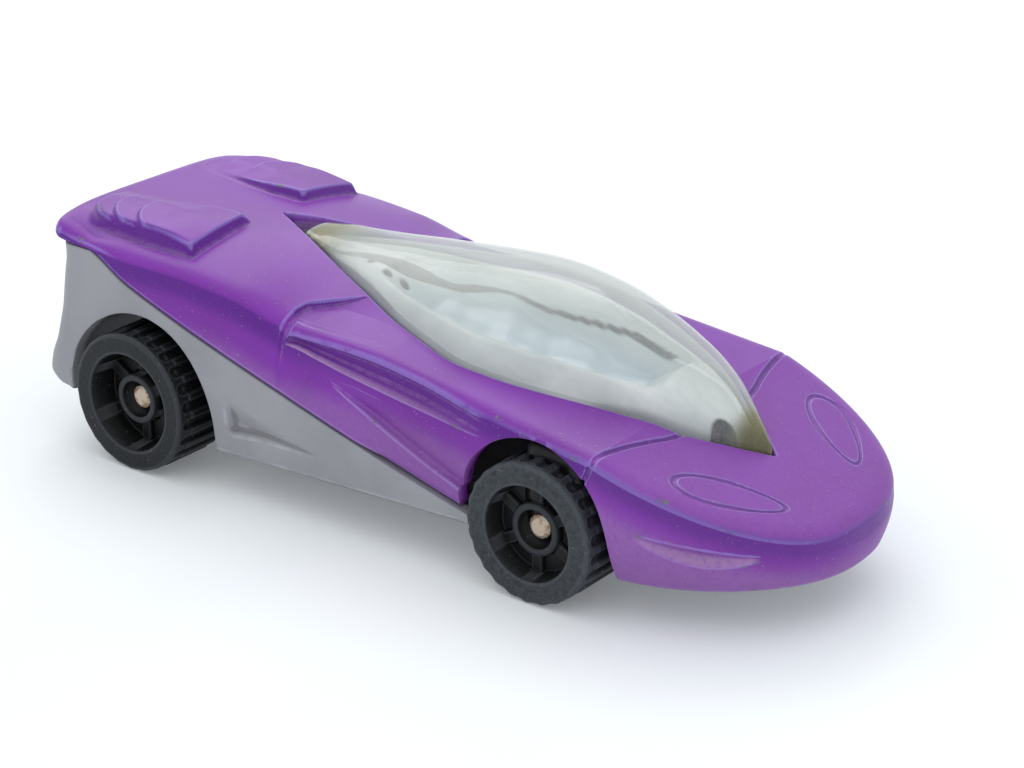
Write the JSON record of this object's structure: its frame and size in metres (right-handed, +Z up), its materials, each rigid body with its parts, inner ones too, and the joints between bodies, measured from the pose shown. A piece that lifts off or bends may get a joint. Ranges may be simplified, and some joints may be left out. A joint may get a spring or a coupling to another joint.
{
  "type": "toy car",
  "caption": "Small die-cast sports coupe with a clear canopy over a metallised cockpit insert, grey moulded chassis and freely rolling treaded wheels on steel axles.",
  "frame": {"origin": "on the ground plane under the middle of the car's length, on its centre plane", "axes": "+X towards the nose, +Y towards the car's left side, +Z up"},
  "size_m": [0.0746, 0.0306, 0.0213],
  "materials": {
    "enamel": "glossy purple enamel on cast zinc, dusty and chipped at its edges",
    "clear": "clear moulded styrene, scuffed and dusty",
    "metallised": "vacuum-metallised styrene, worn",
    "chassis_grey": "grey moulded ABS, fine grain",
    "wheel_black": "black moulded styrene, dusty",
    "pin_steel": "drawn steel pin with light rust at its ends"
  },
  "bodies": {
    "car": {"body_shell": "enamel", "canopy": "clear", "cockpit_insert": "metallised", "chassis": "chassis_grey"},
    "front_pin": {"front_axle": "pin_steel"},
    "rear_pin": {"rear_axle": "pin_steel"},
    "front_left": {"front_left_wheel": "wheel_black"},
    "front_right": {"front_right_wheel": "wheel_black"},
    "rear_left": {"rear_left_wheel": "wheel_black"},
    "rear_right": {"rear_right_wheel": "wheel_black"}
  },
  "joints": [
    {"name": "front_axle_spin", "type": "hinge", "parent": "car", "child": "front_pin", "pos_m": [0.01595, 0, 0.0059], "axis": [0, 1, 0], "continuous": true},
    {"name": "rear_axle_spin", "type": "hinge", "parent": "car", "child": "rear_pin", "pos_m": [-0.02605, 0, 0.0062], "axis": [0, 1, 0], "continuous": true},
    {"name": "front_left_wheel_spin", "type": "hinge", "parent": "front_pin", "child": "front_left", "pos_m": [0.01595, 0.0114, 0.0059], "axis": [0, 1, 0], "continuous": true},
    {"name": "front_right_wheel_spin", "type": "hinge", "parent": "front_pin", "child": "front_right", "pos_m": [0.01595, -0.0114, 0.0059], "axis": [0, 1, 0], "continuous": true},
    {"name": "rear_left_wheel_spin", "type": "hinge", "parent": "rear_pin", "child": "rear_left", "pos_m": [-0.02605, 0.01215, 0.0062], "axis": [0, 1, 0], "continuous": true},
    {"name": "rear_right_wheel_spin", "type": "hinge", "parent": "rear_pin", "child": "rear_right", "pos_m": [-0.02605, -0.01215, 0.0062], "axis": [0, 1, 0], "continuous": true}
  ]
}
